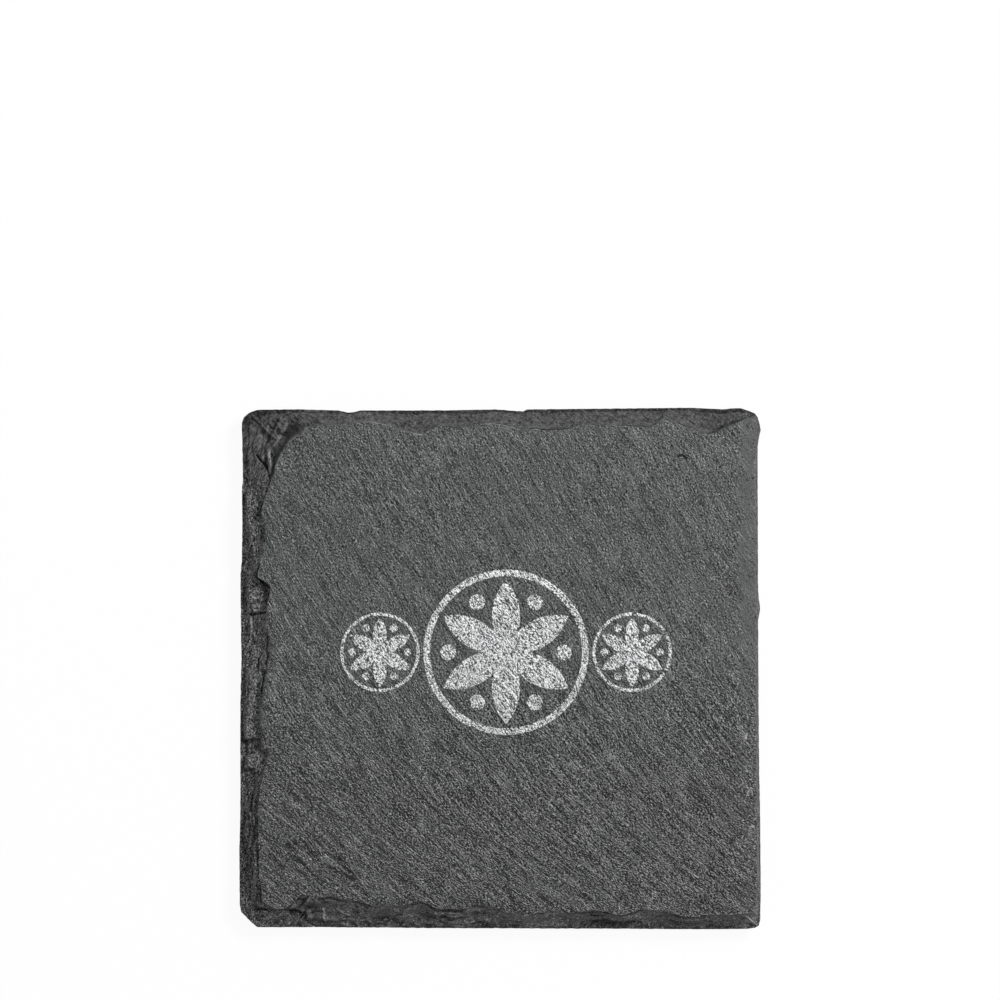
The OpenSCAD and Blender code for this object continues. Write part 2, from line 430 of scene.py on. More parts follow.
on_outline = square_radius > 1 - 1e-4
rim_sunk = np.zeros(ray_count)
is_rim = on_outline[faces_up]
rim_sunk[ray_of[faces_up][is_rim]] = sunk[is_rim]
in_edge = (ring_of > 0) & (ring_of < edge_rings)
fade = 1 - ring_of / edge_rings
shaped[in_edge, 2] -= rim_sunk[ray_of[in_edge]] * fade[in_edge]

# Cracks and bruised ridges that stand out in the edge, each as a half-width, a height that
# is negative for a crack, and the places it passes, all in mm. The first is the hollow
# under the steep face of the back left corner.
marks = [
    (0.80, -0.65, [(-43.3, 38.4), (-42.2, 41.7), (-40.9, 44.3), (-39.6, 46.2)]),
    (0.35, 0.35, [(-44.3, 41.1), (-43.9, 39.6), (-44.2, 37.5)]),
    (0.22, -0.60, [(-46.6, 40.9), (-45.6, 39.6), (-44.6, 38.6), (-44.2, 37.1), (-43.9, 35.7),
                   (-45.0, 32.3), (-46.3, 29.4), (-47.4, 28.1)]),
    (0.22, -0.50, [(-44.9, 26.5), (-44.6, 25.0), (-44.9, 23.3), (-45.4, 21.0), (-46.2, 19.1),
                   (-46.6, 17.8)]),
    (0.20, 0.30, [(-46.3, 28.0), (-45.6, 27.4), (-45.2, 27.9)]),
    (0.20, -0.35, [(-41.0, -46.1), (-38.2, -47.0), (-36.8, -48.7), (-34.8, -49.5)]),
    (0.16, 0.20, [(-45.2, -43.9), (-45.4, -45.9)]),
    (0.16, 0.20, [(-43.8, -45.8), (-42.5, -45.9), (-41.5, -46.0), (-40.4, -45.9)]),
    (0.16, 0.20, [(-38.0, -43.6), (-36.5, -43.7), (-34.9, -43.9), (-33.2, -43.7)]),
    (0.24, -0.60, [(-46.0, 17.1), (-44.8, 16.4), (-44.1, 15.6)]),
    (0.18, -0.50, [(-49.1, 15.4), (-47.9, 15.6), (-46.7, 16.0), (-45.0, 16.5)]),
    (0.20, -0.50, [(-43.9, 15.0), (-44.3, 13.9), (-44.6, 12.7), (-44.7, 11.8)]),
    (0.20, -0.70, [(-47.9, 10.3), (-46.3, 10.5), (-44.8, 10.8)]),
    (0.16, 0.35, [(-47.6, 9.8), (-47.6, 8.0), (-47.7, 5.5), (-48.5, 4.1)]),
    (0.20, -0.45, [(-44.3, 6.2), (-44.6, 3.7), (-44.3, 2.4), (-44.8, 0.7)]),
    (0.22, -0.50, [(-46.2, 1.8), (-46.3, -0.5), (-46.4, -3.0), (-46.6, -5.3)]),
    (0.18, -0.40, [(-45.0, -0.5), (-45.4, -3.0), (-45.7, -5.3)]),
    (0.18, -0.45, [(-46.1, -27.1), (-46.2, -31.1), (-46.1, -34.8), (-45.8, -39.4),
                   (-45.7, -44.9)]),
    (0.18, -0.40, [(-49.4, -32.6), (-48.9, -35.0), (-47.9, -36.1)]),
    (0.22, -0.45, [(-46.5, -46.0), (-41.0, -46.0), (-39.1, -46.3), (-37.0, -47.4)]),
    (0.18, 0.40, [(-33.9, -45.9), (-33.6, -46.8), (-33.9, -47.5), (-33.4, -48.2)]),
    (0.16, 0.30, [(-42.3, -49.2), (-40.2, -48.9)]),
    (0.16, 0.25, [(-31.2, -45.9), (-29.8, -46.9), (-28.6, -47.3)]),
    (0.38, -0.26, [(48.8, 48.7), (46.8, 47.6), (45.0, 47.1), (42.8, 46.6), (41.2, 45.3),
                   (39.4, 44.6)]),
    (0.16, 0.30, [(47.0, -47.2), (49.2, -49.2)]),
]


def distance_to(points, line):
    """Distance of each point to a line of several pieces."""
    nearest = np.full(len(points), np.inf)
    for start, end in zip(line[:-1], line[1:]):
        start, end = np.array(start) * MM, np.array(end) * MM
        step = end - start
        along = np.clip((points - start) @ step / (step @ step), 0, 1)
        nearest = np.minimum(nearest, np.linalg.norm(
            points - start - along[:, None] * step, axis=1))
    return nearest


# What is marked also shows in the tone: 1 is bruised pale and -1 is a crack darkened with
# painted shade. A broad or low mark is fainter. The rim is bruised too, with painted shade
# under it in places.
marks_and_shade = np.zeros(len(shaped))
in_break = (ring_of > 1) & (ring_of <= edge_rings)
full_half_width = 0.25
full_height = 0.3
lowest_break = slab_low.z + 0.5 * MM
shade_strength = 0.9
for half_width, height, line in marks:
    away = distance_to(shaped[in_break, :2], line) / (half_width * MM)
    closeness = np.exp(-away**2)
    shaped[in_break, 2] += height * MM * closeness
    strength = min(1, full_half_width / half_width) * min(1, abs(height) / full_height)
    marks_and_shade[in_break] += math.copysign(strength, height) * closeness
shaped[in_break, 2] = np.clip(shaped[in_break, 2], lowest_break, slab_high.z)
# Painted shade in a band just under the rim at the front, the left and the back left.
under_rim = (ring_of >= 2) & (ring_of <= 5)
rim_shade = window(2.02, 0.35, 0.1) * smooth(-0.35, 0.05, rough(walk, 5 * MM, 139))
marks_and_shade[under_rim] = np.minimum(
    marks_and_shade[under_rim], -shade_strength * rim_shade[ray_of[under_rim]])
rim_bruise = on_outline & (ring_of <= 1)
marks_and_shade[rim_bruise] = smooth(-0.15, 0.25, rough(walk, 3 * MM, 137))[ray_of[rim_bruise]]
mark_values = slab.data.attributes.new("mark_and_shade", "FLOAT", "POINT")
mark_values.data.foreach_set("value", np.clip(marks_and_shade, -1, 1))

slab.data.vertices.foreach_set("co", shaped.ravel())
slab.data.update()


def shade_smooth(piece, degrees):
    """Shades a piece smooth, apart from edges that turn by more than that."""
    bpy.ops.object.select_all(action="DESELECT")
    piece.select_set(True)
    bpy.context.view_layer.objects.active = piece
    bpy.ops.object.shade_smooth_by_angle(angle=math.radians(degrees))


shade_smooth(slab, 32)


def tone(red, green, blue):
    """Linear colour of a tone read as 0 to 255 on a screen."""
    return tuple(
        share / 12.92 if share <= 0.04045 else ((share + 0.055) / 1.055) ** 2.4
        for share in (red / 255, green / 255, blue / 255)
    ) + (1,)


class Wire:
    """A socket of a material's nodes. A sum written with wires adds its Math nodes."""

    def __init__(self, tree, socket=None):
        self.tree = tree
        self.socket = socket

    def node(self, kind, settings=None, inputs=None, output=0):
        made = self.tree.nodes.new(kind)
        for name, value in (settings or {}).items():
            setattr(made, name, value)
        for name, value in (inputs or {}).items():
            if isinstance(value, Wire):
                self.tree.links.new(value.socket, made.inputs[name])
            else:
                made.inputs[name].default_value = value
        return Wire(self.tree, made.outputs[output])

    def math(self, operation, *terms):
        return self.node("ShaderNodeMath", {"operation": operation}, dict(enumerate(terms)))

    def __add__(self, other):
        return self.math("ADD", self, other)

    def __radd__(self, other):
        return self.math("ADD", other, self)

    def __sub__(self, other):
        return self.math("SUBTRACT", self, other)

    def __rsub__(self, other):
        return self.math("SUBTRACT", other, self)

    def __mul__(self, other):
        return self.math("MULTIPLY", self, other)

    def __rmul__(self, other):
        return self.math("MULTIPLY", other, self)

    def __truediv__(self, other):
        return self.math("DIVIDE", self, other)

    def between(self, low, high):
        """0 below low, 1 above high and smooth in between."""
        return self.node(
            "ShaderNodeMapRange",
            {"interpolation_type": "SMOOTHSTEP"},
            {"Value": self, "From Min": low, "From Max": high},
        )

    def sharpened(self, gain):
        """The same values round 0, but the small ones weaker and the large ones stronger."""
        return self * (self.math("ABSOLUTE", self) * gain + 0.5)

    def blend(self, first, second):
        """The first colour where this is 0, the second where it is 1."""
        return self.node(
            "ShaderNodeMix", {"data_type": "RGBA"}, {0: self, 6: first, 7: second}, output=2
        )

    def grains(self, across, along, height, detail=2.0, roughness=0.5):
        """Noise from 0 to 1 in a space whose three coordinates are given in bumps."""
        spot = self.node("ShaderNodeCombineXYZ", None, {0: across, 1: along, 2: height})
        return self.node(
            "ShaderNodeTexNoise", None,
            {"Vector": spot, "Scale": 1.0, "Detail": detail, "Roughness": roughness},
        )


def finish(name):
    """A new material with its empty wire, its Principled shader and x, y and z in mm."""
    material = bpy.data.materials.new(name)
    material.use_nodes = True
    wire = Wire(material.node_tree)
    spot = wire.node("ShaderNodeTexCoord", output="Object")
    parts = [
        wire.node("ShaderNodeSeparateXYZ", None, {0: spot}, output=axis) / MM
        for axis in range(3)
    ]
    return material, wire, material.node_tree.nodes["Principled BSDF"], parts


def plug(material, shader, colour, roughness, relief, bump_height):
    """Links a colour, a roughness and a relief of that height to the shader."""
    wire = Wire(material.node_tree)
    bump = wire.node(
        "ShaderNodeBump", None, {"Strength": 1.0, "Distance": bump_height, "Height": relief}
    )
    links = material.node_tree.links
    links.new(colour.socket, shader.inputs["Base Color"])
    links.new(bump.socket, shader.inputs["Normal"])
    if isinstance(roughness, Wire):
        links.new(roughness.socket, shader.inputs["Roughness"])
    else:
        shader.inputs["Roughness"].default_value = roughness


# Cleaved faces: a fine grain of small flakes that runs from the back left to the front
# right and bends towards the left at the front, over longer streaks that run a little
# steeper. Each flake has a flank of painted light and a flank of painted shade. The
# engraving has bruised it to a pale frost. Places and heights are in mm.
cleft, wire, shader, (x, y, z) = finish("slate_cleft")
spot = wire.node("ShaderNodeCombineXYZ", None, {0: x, 1: y, 2: 0.0})
front = wire.math("MINIMUM", y, 0.0)
sway = wire.grains(x * 0.10, y * 0.10, z * 0.10)
sway_width = 2.5
grain_slant = 0.78
grain_bend = 0.00625
streak_slant = 0.60
streak_bend = 0.0078
painted_light_step = 0.5


def laid(slant, bend):
    """Places across and along a grain of that slant, which bends by that much at the front."""
    length = math.hypot(1, slant)
    across = (x + y * slant - front * front * bend) / length
    return across + (sway - 0.5) * sway_width, (y - x * slant) / length


across, along = laid(grain_slant, grain_bend)
ridge = wire.grains(across * 5.7, along * 2.5, z * 3.0, detail=1.0)
embossed_flakes = wire.grains(across * 3.0, along * 2.1, z * 2.0 + 40.0, detail=1.0)
flakes_towards_lamp = wire.grains(across * 3.0 + painted_light_step, along * 2.1, z * 2.0 + 40.0, detail=1.0)
crinkle = wire.grains(across * 3.2, along * 0.8, z * 1.5, detail=0.0)
grit = (ridge - 0.5).sharpened(5.0) * 2.2
# Painted light and shade: the grain less the same grain shifted towards the lamp gives each
# flake a lit flank and a shaded flank.
grit = grit + (embossed_flakes - flakes_towards_lamp).sharpened(2.0) * 1.55
across, along = laid(streak_slant, streak_bend)
furrows = wire.grains(across * 0.8, along * 0.09, z * 0.2, detail=1.0)
fibres = wire.grains(across * 2.7, along * 0.28, z * 0.5, detail=0.0)
strands = wire.grains(across * 1.5, along * 0.18, z * 0.3 + 90.0, detail=0.0)
# Pits dip in the relief and are darkened with painted shade.
shaded_pits = wire.grains(across * 1.5, along, z + 20.0, detail=1.0).between(0.66, 0.78)
coarser = wire.grains(across * 1.5, along * 0.5, z + 60.0).between(0.3, 0.7) + 0.5

# Pale threads lie in a patch at the left, and more thinly in drifts elsewhere.
threads = wire.grains(across * 3.4, along * 0.26, z + 80.0, detail=0.0).between(0.58, 0.68)
patch_x = (x + 36.0) / 14.0
patch_y = (y - 4.0) / 16.0
threaded = (patch_x * patch_x + patch_y * patch_y).between(1.2, 0.3) * 1.9
threaded = threaded + wire.grains(x * 0.06, y * 0.06, z * 0.06 + 5.0).between(0.45, 0.65)
threads = threads * threaded

# The grain is rougher towards the front. It is calmer at the front left, and in a strip
# down the right side that widens at a dent.
wander = wire.grains(x * 0.22, y * 0.22, z + 30.0, detail=2.0) - 0.5
swell = wire.math("ABSOLUTE", y + 24.0).between(9.0, 5.0)
calm = (x + swell * 4.5 + wander * 6.0).between(45.2, 46.6)
roughened = 1.98 - y.between(-22.0, 12.0) * 1.04 - calm * 0.60
roughened = roughened - x.between(-8.0, -30.0) * y.between(0.0, -15.0) * 0.40


def along_lines(spot, wander, lines):
    """Lines drawn at a spot, each with a strength, a half-width and its corners in mm.

    Each line adds its strength where it runs, and nothing from its half-width on.
    """
    far = 10.0
    wobble = 0.8
    full_share = 0.3
    total = 0.0
    for strength, half_width, line in lines:
        nearest = far
        for start, end in zip(line[:-1], line[1:]):
            step = Vector((*end, 0)) - Vector((*start, 0))
            reached = spot.node(
                "ShaderNodeVectorMath", {"operation": "SUBTRACT"}, {0: spot, 1: (*start, 0)})
            share = spot.node(
                "ShaderNodeVectorMath", {"operation": "DOT_PRODUCT"},
                {0: reached, 1: step / step.length_squared}, output="Value")
            share = spot.math("MINIMUM", spot.math("MAXIMUM", share, 0.0), 1.0)
            passed = spot.node(
                "ShaderNodeVectorMath", {"operation": "SCALE"}, {0: step, "Scale": share})
            off = spot.node(
                "ShaderNodeVectorMath", {"operation": "DISTANCE"}, {0: reached, 1: passed},
                output="Value")
            nearest = spot.math("MINIMUM", off, nearest)
        near = (nearest + wander * wobble).between(half_width, half_width * full_share)
        total = total + near * strength
    return total


# Edges of the last layer where it broke away in ripples at the front left, a nick at the
# back right and the rim of a dent at the right, all darkened with painted shade, pale
# scratches down the right side, and pale flecks along the rim at the front left.
shaded_ripples = along_lines(spot, wander, [
    (1.0, 0.55, [(-41.4, -34.0), (-38.3, -32.9), (-36.2, -35.2), (-32.4, -35.3),
                 (-29.9, -37.3), (-27.2, -40.9)]),
    (1.0, 0.45, [(-33.5, -37.5), (-30.8, -38.8), (-27.8, -40.5)]),
    (1.0, 0.40, [(-40.4, -35.5), (-37.4, -37.5)]),
    (1.0, 0.40, [(42.1, -17.7), (44.4, -16.8)]),
])
shaded_nick = along_lines(spot, wander, [(1.0, 0.30, [(34.1, 40.7), (34.9, 40.8), (35.6, 40.3)])])
scratch_lines = along_lines(spot, wander, [
    (1.0, 0.25, [(47.7, -22.9), (46.9, -24.8)]),
    (1.0, 0.22, [(48.1, -22.7), (48.3, -24.3)]),
    (1.0, 0.25, [(47.9, -30.2), (48.5, -30.0)]),
    (1.0, 0.22, [(47.1, -8.5), (47.4, -9.3)]),
    (1.0, 0.20, [(47.1, -12.5), (46.9, -13.2)]),
])
rim_flecks = along_lines(spot, wander, [
    (1.0, 0.40, [(-38.1, -43.0), (-36.5, -43.2), (-35.0, -43.4)]),
    (1.0, 0.40, [(-43.6, -45.3), (-42.4, -45.4), (-40.6, -45.2)]),
])
flecks = wire.grains(x * 2.2, y * 2.2, z * 2.2, detail=1.0).between(0.58, 0.70)
mark_and_shade = wire.node("ShaderNodeAttribute", {"attribute_name": "mark_and_shade"}, output="Fac")
bruise = mark_and_shade * flecks
scratched = scratch_lines + rim_flecks * flecks

relief = ridge * 0.28 + crinkle * 0.18 + furrows * 0.18 + fibres * 0.18 + strands * 0.16
relief = relief * roughened
relief = relief + threads * 0.08 - shaded_pits * 0.2 - shaded_ripples * 0.20 - shaded_nick * 0.5
stone_tone = grit * coarser + (crinkle - 0.5) * 0.15 + (fibres - 0.5) * 0.50
stone_tone = stone_tone + (strands - 0.5) * 0.36 + (furrows - 0.5) * 0.22
stone_tone = stone_tone * roughened + threads * 0.22 - shaded_pits * 0.4 + (x + y) * 0.0007
# Painted shade darkens the ripples and the nick.
stone_tone = stone_tone - shaded_ripples * 0.35 - shaded_nick * 0.9 + scratched * 0.8 + bruise * 1.2
stone = stone_tone.between(-0.6, 1.6).blend(tone(5, 6, 6), tone(174, 176, 175))
tint = wire.grains(x * 0.35, y * 0.35, z * 0.3 + 40.0).between(0.3, 0.7) * 0.6
tint = tint + y.between(-10.0, -25.0) * 0.45 + x.between(20.0, 45.0) * 0.15
tinted = tint.blend(tone(248, 254, 253), tone(255, 250, 252))
stone = wire.node(
    "ShaderNodeMix", {"data_type": "RGBA", "blend_type": "MULTIPLY"},
    {0: 1.0, 6: stone, 7: tinted}, output=2,
)


def rosette(x, y, centre_x, centre_y, radius):
    """1 inside a ring, its six petals and the dots between them, and 0 outside."""
    right = x - centre_x
    up = y - centre_y
    out = wire.math("SQRT", right * right + up * up)
    angle = wire.math("ARCTAN2", up, right)

    def folded(turned):
        return wire.math("PINGPONG", angle + turned, math.radians(30))

    ring_width = 0.080 * radius
    ring = (ring_width / 2 - wire.math("ABSOLUTE", out - (radius - ring_width / 2))) / radius
    petal_end = 0.87 * radius
    petal_width = 0.34 * radius
    bow = (petal_end**2 + petal_width**2) / (4 * petal_width)
    fold = folded(math.radians(30))
    past = out * wire.math("COSINE", fold) - petal_end / 2
    aside = out * wire.math("SINE", fold) + (bow - petal_width / 2)
    petal = (bow - wire.math("SQRT", past * past + aside * aside)) / radius
    fold = folded(math.radians(60))
    past = out * wire.math("COSINE", fold) - 0.70 * radius
    aside = out * wire.math("SINE", fold)
    dot = (0.095 * radius - wire.math("SQRT", past * past + aside * aside)) / radius
    inside = wire.math("MAXIMUM", ring, wire.math("MAXIMUM", petal, dot))
    edge = 0.05 / radius
    return inside.between(-edge, edge)


engraving_x = 1.15
engraving_y = 3.2
large_radius = 15.8
small_radius = 7.6
small_offset = 24.1
engraved_depth = 0.04
engraved = rosette(x, y, engraving_x, engraving_y, large_radius)
for direction in (-1, 1):
    small = rosette(x, y, engraving_x + direction * small_offset, engraving_y, small_radius)
    engraved = wire.math("MAXIMUM", engraved, small)
# The engraving is on the upper face alone.
engraved = engraved * z.between(6.0, 6.5)
frost_tone = (ridge - 0.5) * 4.6 + (crinkle - 0.5) * 1.4 - shaded_pits * 0.6 + 0.46
frost = frost_tone.between(-0.2, 1.2).blend(tone(52, 56, 55), tone(252, 255, 255))
colour = engraved.blend(stone, frost)
relief = relief - engraved * engraved_depth
plug(cleft, shader, colour, roughness=0.6, relief=relief, bump_height=MM)
shader.inputs["Specular IOR Level"].default_value = 0.25

# Dressed edge: the same stone freshly broken, darker, with fine scratches down the break.
# Cracks, a band under the rim and the foot of the break are darkened with painted shade, and
# ridges and the rim are bruised pale. The back edge lies in shallow folds, and pale crumbs
# stick to the front edge.
dressed, wire, shader, (x, y, z) = finish("slate_dressed")
on_left = x.between(-42.0, -45.0) * y.between(40.0, 34.0)
in_corner = x.between(-34.0, -40.0) * y.between(34.0, 40.0)
at_back = y.between(43.5, 46.0)
at_front = y.between(-43.5, -46.0)
calmer = at_back + at_front * 0.4
level = wire.grains(x * 0.25, y * 0.25, z * 5.0, detail=2.0, roughness=0.6)
chips = wire.grains(x * 0.9, y * 0.9, z * 1.2, detail=3.0, roughness=0.6)
scratches = wire.grains(
    (x * 0.86 - y * 0.5) * 3.2, (x * 0.5 + y * 0.86) * 0.7, z * 2.0, detail=1.0)
folds = wire.grains(
    (x * 0.6 + y * 0.8) * 2.0, (y * 0.6 - x * 0.8) * 0.9, z * 1.5, detail=3.0, roughness=0.7)
grit = (wire.grains(x * 3.8, y * 3.0, z * 4.0, detail=1.0) - 0.5).sharpened(5.0)
flecks = wire.grains(x * 2.2, y * 2.2, z * 2.2, detail=1.0).between(0.60, 0.72)
specks = wire.grains(x * 2.9, y * 2.9, z * 2.9 + 11.0, detail=0.0).between(0.66, 0.76)
crumbs = wire.grains(x * 1.8, y * 2.4, z * 2.0 + 17.0, detail=1.0).between(0.68, 0.76)
mark_and_shade = wire.node("ShaderNodeAttribute", {"attribute_name": "mark_and_shade"}, output="Fac")
# Painted shade in the cracks and in the band under the rim.
crack_shade = (mark_and_shade * -1.0).between(0.1, 0.9)
bruise = mark_and_shade.between(0.15, 0.8) * 0.7 + z.between(6.75, 7.05) * flecks * (1.0 - in_corner)
# Painted shade in a band where the break meets the upright wall.
foot_shade = z.between(3.75, 3.45) * z.between(3.0, 3.3)

# The back left corner: a steep face darkened with painted shade, thin plates that stand
# before it with painted highlights along their edges, and the splits between them in painted
# shade.
spot = wire.node("ShaderNodeCombineXYZ", None, {0: x, 1: y, 2: 0.0})
wander = wire.grains(x * 0.22, y * 0.22, z * 0.2 + 30.0, detail=2.0) - 0.5
shaded_steep = along_lines(spot, wander, [(1.0, 1.7, [(-39.3, 46.0), (-41.2, 43.8), (-42.7, 41.5)])])
plate_edge_highlights = along_lines(spot, wander, [
    (1.3, 0.50, [(-40.8, 46.8), (-42.1, 44.3), (-43.6, 42.2), (-44.2, 41.3)]),
    (1.0, 0.55, [(-44.2, 41.3), (-44.1, 39.2), (-43.9, 37.6)]),
    (0.7, 0.60, [(-41.7, 47.7), (-43.0, 45.6)]),
    (1.0, 0.40, [(-43.9, 47.9), (-44.7, 45.0)]),
    (0.2, 0.50, [(-47.9, 48.8), (-43.8, 44.5)]),
])
shaded_splits = along_lines(spot, wander, [
    (1.0, 0.46, [(-42.5, 47.5), (-43.6, 45.3), (-44.6, 43.4), (-45.0, 41.1), (-44.6, 38.4)]),
    (1.0, 0.46, [(-43.7, 41.1), (-43.2, 38.8), (-43.8, 36.6)]),
])
smoother = 1.0 - shaded_steep * 0.7

relief = level * 0.18 + chips * (0.45 - in_corner * 0.30 - on_left * 0.12) + grit * 0.20
relief = relief + scratches * (in_corner * 0.18 + 0.22)
relief = relief * smoother + plate_edge_highlights * 0.15 - shaded_splits * 0.15
relief = relief * (1.0 - calmer * 0.58) + folds * at_back * 0.70
broken_tone = (chips - 0.5) * (0.6 - in_corner * 0.3)
broken_tone = broken_tone + (scratches - 0.5) * (in_corner * 0.6 + 0.7)
broken_tone = (broken_tone + (level - 0.5) * 0.4) * (1.0 - calmer * 0.45)
broken_tone = broken_tone + grit * (on_left * 2.1 - in_corner * 0.3 - at_back * 0.5 + 0.9)
broken_tone = broken_tone + (folds - 0.5) * at_back * 1.3
broken_tone = broken_tone + specks * (0.55 - at_back * 0.30 - in_corner * 0.45)
broken_tone = broken_tone + crumbs * at_front * 1.1 + bruise * 0.9 - crack_shade * 0.40
# Painted highlights on the plate edges, painted shade in the splits and on the steep face.
broken_tone = broken_tone * smoother + plate_edge_highlights * 0.26 - shaded_splits * 0.30 - shaded_steep * 0.22
broken_tone = broken_tone + on_left * 0.04 - in_corner * 0.02 + 0.06
broken_tone = broken_tone - at_back * 0.06 - foot_shade * 0.25
colour = broken_tone.between(-0.6, 1.6).blend(tone(4, 5, 5), tone(176, 177, 176))
plug(dressed, shader, colour, roughness=0.8, relief=relief, bump_height=MM)
shader.inputs["Specular IOR Level"].default_value = 0.2

slab.data.materials.append(cleft)
slab.data.materials.append(dressed)
for face in slab.data.polygons:
    face_rings = ring_of[list(face.vertices)]
    is_flat = face_rings.min() == face_rings.max()
    face.material_index = 0 if is_flat and face_rings[0] in (0, rings) else 1
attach(slab, "root")
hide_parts("slate_slab")

# Adhesive films. A disc of clear acrylic film, die-cut with its foot, holds each foot to
# the slate. It stops just short of the foam's edge and is pressed out unevenly.
corners = ("front_left", "front_right", "back_left", "back_right")
film_low, film_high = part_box("adhesive_front_left")
film_radius = (film_high.x - film_low.x) / 2
film_sides = 96
film_edge_radius = 0.04 * MM
film_unevenness = 0.012
bpy.ops.object.select_all(action="DESELECT")
bpy.ops.mesh.primitive_cylinder_add(
    vertices=film_sides, radius=film_radius, depth=film_high.z - film_low.z,
    location=(0, 0, (film_low.z + film_high.z) / 2),
)
film = bpy.context.object
bpy.ops.object.transform_apply(location=True, rotation=False, scale=False)
bpy.ops.object.mode_set(mode="EDIT")
bpy.ops.mesh.select_all(action="SELECT")
bpy.ops.mesh.bevel(offset=film_edge_radius, segments=2)
bpy.ops.object.mode_set(mode="OBJECT")
clear_film, wire, shader, (x, y, z) = finish("adhesive_film")
haze = wire.grains(x * 1.4, y * 1.4, z * 1.4, detail=3.0)
dust = wire.grains(x * 9.0, y * 9.0, z * 9.0)
colour = haze.between(0.3, 0.7).blend(tone(196, 194, 184), tone(224, 223, 216))
relief = haze + dust * 0.3
roughness = haze * 0.3 + 0.15
plug(clear_film, shader, colour, roughness, relief, bump_height=0.03 * MM)
shader.inputs["Coat Weight"].default_value = 0.4
shader.inputs["Coat Roughness"].default_value = 0.2


def copy_to(source, name, low, high):
    """A copy of the source with its own mesh, moved from the middle to that box's place."""
    made = bpy.data.objects.new(name, source.data.copy())
    bpy.context.scene.collection.objects.link(made)
    middle = (low + high) / 2
    for vertex in made.data.vertices:
        vertex.co.x += middle.x
        vertex.co.y += middle.y
    return made


for number, corner in enumerate(corners):
    node = "adhesive_" + corner
    low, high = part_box(node)
    piece = copy_to(film, "film_" + corner, low, high)
    middle = (low + high) / 2
    spots = np.array([vertex.co for vertex in piece.data.vertices])
    pressed_out = 1 - film_unevenness * (1 + rough(spots, 1.8 * MM, 131 + number))
    for vertex, share in zip(piece.data.vertices, pressed_out):
        vertex.co.x = middle.x + (vertex.co.x - middle.x) * share
        vertex.co.y = middle.y + (vertex.co.y - middle.y) * share
    piece.data.materials.append(clear_film)
    shade_smooth(piece, 30)
    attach(piece, "root")
    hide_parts(node)
bpy.data.objects.remove(film)

# Feet. Discs of black closed-cell foam, die-cut from sheet: the cut wall is drawn in a
# little and shows the opened cells, the sole is the sheet's skin with a worn edge.
foot_low, foot_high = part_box("foot_front_left")
foot_radius = (foot_high.x - foot_low.x) / 2
foot_height = foot_high.z - foot_low.z
foot_sides = 128
wall_cuts = 11
sole_rings = 9
waist = 0.16 * MM
cell_depth = 0.05 * MM
edge_wear = 0.35 * MM
worn_share = 0.18
sole_edge_lift = 0.06 * MM
sole_dimple = 0.02 * MM
bpy.ops.object.select_all(action="DESELECT")
bpy.ops.mesh.primitive_cylinder_add(
    vertices=foot_sides, radius=foot_radius, depth=foot_height,
    location=(0, 0, (foot_low.z + foot_high.z) / 2),
)
foot = bpy.context.object
bpy.ops.object.transform_apply(location=True, rotation=False, scale=False)
for face in foot.data.polygons:
    face.select = abs(face.normal.z) > 0.9
bpy.ops.object.mode_set(mode="EDIT")
bpy.context.tool_settings.mesh_select_mode = (False, False, True)
for ring in range(sole_rings):
    bpy.ops.mesh.inset(thickness=foot_radius / (sole_rings + 1), use_individual=True)
bpy.ops.mesh.select_all(action="DESELECT")
bpy.ops.object.mode_set(mode="OBJECT")
for edge in foot.data.edges:
    one, other = (foot.data.vertices[index].co for index in edge.vertices)
    edge.select = abs(one.z - other.z) > foot_height / 2
bpy.ops.object.mode_set(mode="EDIT")
bpy.context.tool_settings.mesh_select_mode = (False, True, False)
bpy.ops.mesh.subdivide(number_cuts=wall_cuts)
bpy.ops.object.mode_set(mode="OBJECT")

foam, wire, shader, (x, y, z) = finish("foam")
spot = wire.node("ShaderNodeCombineXYZ", None, {0: x, 1: y, 2: z})
bubbles, fine_bubbles = (
    wire.node("ShaderNodeTexVoronoi", {"feature": "F1"}, {"Vector": spot, "Scale": per_mm})
    for per_mm in (4.2, 9.0)
)
cell_wall = bubbles.between(0.15, 0.75) * 0.7 + fine_bubbles.between(0.1, 0.7) * 0.3
scuffs = wire.grains(x * 0.8, y * 0.8, z * 0.8, detail=3.0)
tone_share = cell_wall * 0.7 + scuffs * 0.5
colour = tone_share.between(0.1, 1.1).blend(tone(14, 14, 15), tone(52, 52, 54))
plug(foam, shader, colour, roughness=0.92, relief=cell_wall, bump_height=0.12 * MM)
shader.inputs["Specular IOR Level"].default_value = 0.25

for number, corner in enumerate(corners):
    node = "foot_" + corner
    low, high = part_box(node)
    piece = copy_to(foot, "foam_" + corner, low, high)
    middle = (low + high) / 2
    spots = np.array([vertex.co for vertex in piece.data.vertices])
    from_middle = spots - np.array(middle)
    out = np.hypot(from_middle[:, 0], from_middle[:, 1])
    up = (spots[:, 2] - low.z) / foot_height
    on_wall = out > 0.999 * foot_radius
    drawn_in = waist * 4 * up * (1 - up)
    drawn_in += cell_depth * (0.7 + rough(spots, 0.45 * MM, 151 + number))
    worn = edge_wear * np.clip(1 - up / worn_share, 0, 1) ** 2
    shrink = 1 - np.where(on_wall, drawn_in + worn, 0) / np.maximum(out, 1e-9)
    on_sole = up < 0.01
    lift = sole_edge_lift * (smooth(0.86, 1.0, out / foot_radius) * on_sole)
    lift += sole_dimple * on_sole * (0.5 + rough(spots, 1.1 * MM, 171 + number))
    spots[:, 0] = middle.x + from_middle[:, 0] * shrink
    spots[:, 1] = middle.y + from_middle[:, 1] * shrink
    spots[:, 2] = np.maximum(spots[:, 2] + lift, low.z)
    piece.data.vertices.foreach_set("co", spots.ravel())
    piece.data.materials.append(foam)
    shade_smooth(piece, 50)
    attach(piece, "root")
    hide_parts(node)
bpy.data.objects.remove(foot)

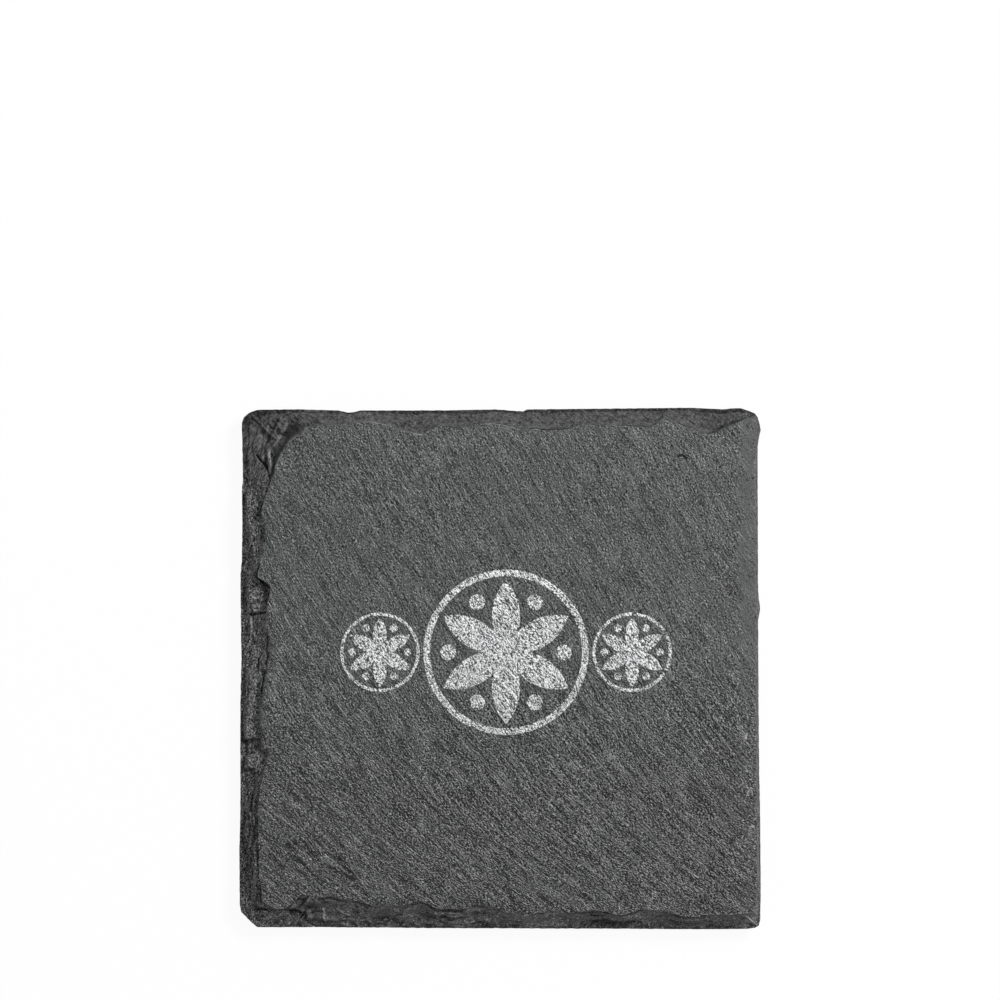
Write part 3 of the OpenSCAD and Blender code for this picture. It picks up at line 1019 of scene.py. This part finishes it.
# Floor, light and camera: a plain white studio floor under an even white sky, a large
# soft lamp high behind the coaster's right, and a long lens straight above.
floor_side = 6
floor_glow = 0.94
bpy.ops.mesh.primitive_plane_add(size=floor_side, location=(0, 0, 0))
floor = bpy.context.object
floor.name = "floor"
paper, wire, shader, _ = finish("paper")
shader.inputs["Base Color"].default_value = tone(250, 250, 250)
shader.inputs["Roughness"].default_value = 0.9
shader.inputs["Specular IOR Level"].default_value = 0.0
seen = wire.node("ShaderNodeLightPath", output="Is Camera Ray") * floor_glow
glow = wire.node("ShaderNodeEmission", None, {"Color": (1, 1, 1, 1), "Strength": 1.0})
surface = Wire(paper.node_tree, shader.outputs[0])
mixed = wire.node("ShaderNodeMixShader", None, {0: seen, 1: surface, 2: glow})
output = paper.node_tree.nodes["Material Output"]
paper.node_tree.links.new(mixed.socket, output.inputs["Surface"])
floor.data.materials.append(paper)

sky = bpy.data.worlds.new("sky")
sky.use_nodes = True
bpy.context.scene.world = sky
wire = Wire(sky.node_tree)
rays_seen = wire.math(
    "MAXIMUM",
    wire.node("ShaderNodeLightPath", output="Is Camera Ray"),
    wire.node("ShaderNodeLightPath", output="Is Glossy Ray"),
)
sky_strength = 0.38
sky_light = rays_seen * (1 - sky_strength) + sky_strength
background = sky.node_tree.nodes["Background"]
background.inputs["Color"].default_value = (1, 1, 1, 1)
sky.node_tree.links.new(sky_light.socket, background.inputs["Strength"])

lamp_place = (0.75, 0.62, 0.95)
bpy.ops.object.light_add(type="AREA", location=lamp_place)
lamp = bpy.context.object
lamp.name = "key_lamp"
lamp.data.shape = "DISK"
lamp.data.size = 0.45
lamp.data.energy = 16.5
lamp.rotation_euler = (-lamp.location).to_track_quat("-Z", "Y").to_euler()

# The picture shows this width at the height of the slab's widest outline.
frame_width = 191.57 * MM
frame_z = slab_low.z + 1.2 * MM
view_centre_y = 32.28 * MM
lens = 300
sensor = 36
camera_distance = frame_width * lens / sensor
bpy.ops.object.camera_add(location=(0, view_centre_y, frame_z + camera_distance))
camera = bpy.context.object
camera.name = "camera"
camera.data.sensor_width = sensor
camera.data.lens = lens
camera.data.clip_end = 10
bpy.context.scene.camera = camera
bpy.context.scene.view_settings.view_transform = "Standard"
